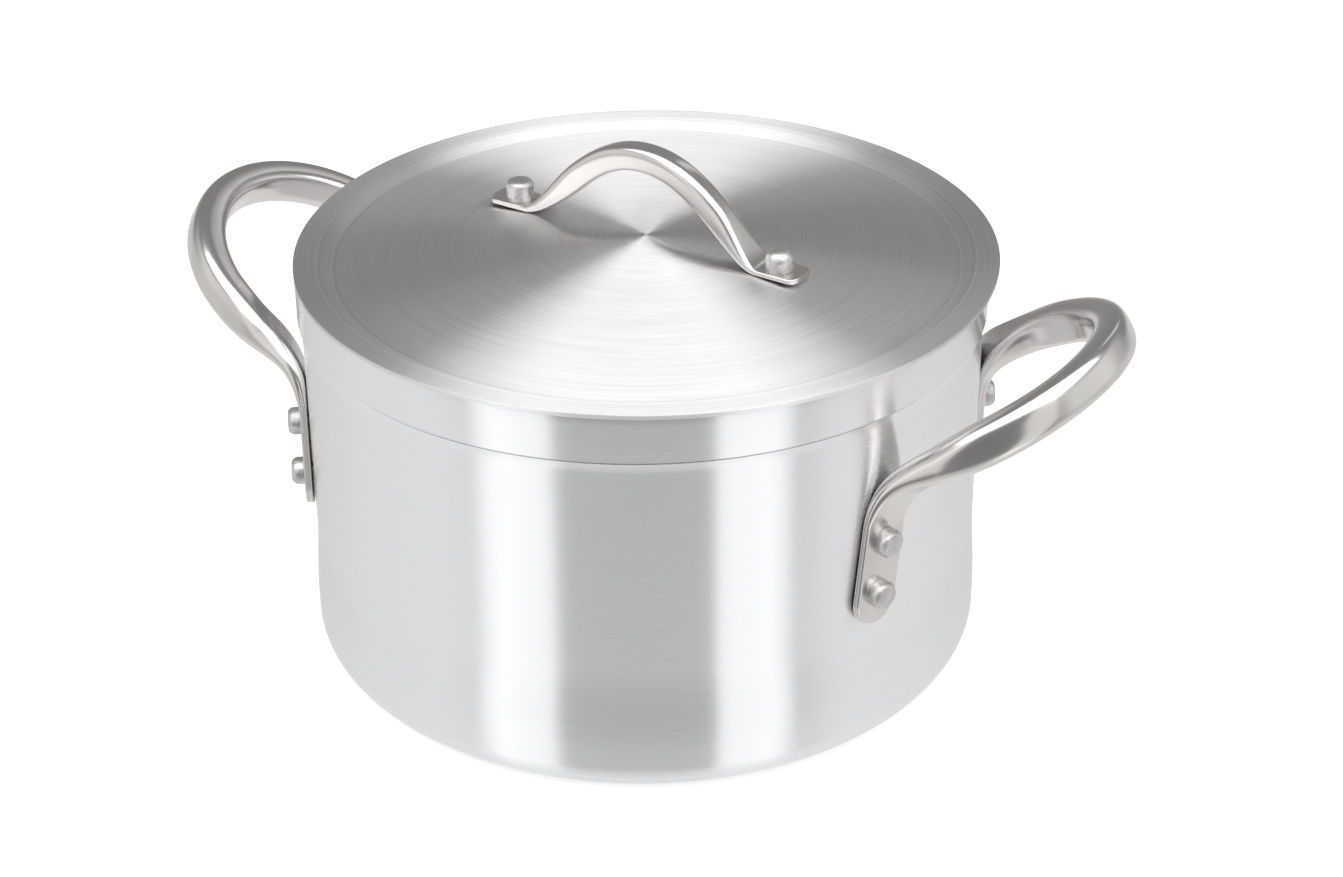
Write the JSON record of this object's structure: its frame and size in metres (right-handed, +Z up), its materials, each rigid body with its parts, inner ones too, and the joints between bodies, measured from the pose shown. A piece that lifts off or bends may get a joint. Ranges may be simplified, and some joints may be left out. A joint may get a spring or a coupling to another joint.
{
  "type": "stock pot",
  "caption": "Round two-handled spun aluminium stock pot with riveted steel tube handles and a lift-off shallow domed lid with an arched handle.",
  "frame": {"origin": "centre of the base's underside, on the surface that the pot stands on", "axes": "+Z up along the pot's axis; the side handles stand on +X and -X; +Y is the back"},
  "size_m": [0.3582, 0.2512, 0.1905],
  "materials": {
    "pot_aluminium": "satin, lathe-brushed in fine level rings",
    "lid_aluminium": "satin, lathe-brushed in concentric rings",
    "handle_steel": "satin polished stainless tube, slightly warm",
    "rivet_aluminium": "matt, hammered"
  },
  "bodies": {
    "pot": {"pot_body": "pot_aluminium", "right_handle": "handle_steel", "left_handle": "handle_steel", "right_handle_front_rivets": "rivet_aluminium", "right_handle_back_rivets": "rivet_aluminium", "left_handle_front_rivets": "rivet_aluminium", "left_handle_back_rivets": "rivet_aluminium"},
    "lid": {"lid": "lid_aluminium", "lid_handle": "handle_steel", "lid_handle_rivets": "rivet_aluminium"}
  },
  "joints": [
    {"name": "lid_lift", "type": "slide", "parent": "pot", "child": "lid", "axis": [0, 0, 1], "range_m": [0, 0.15]}
  ]
}
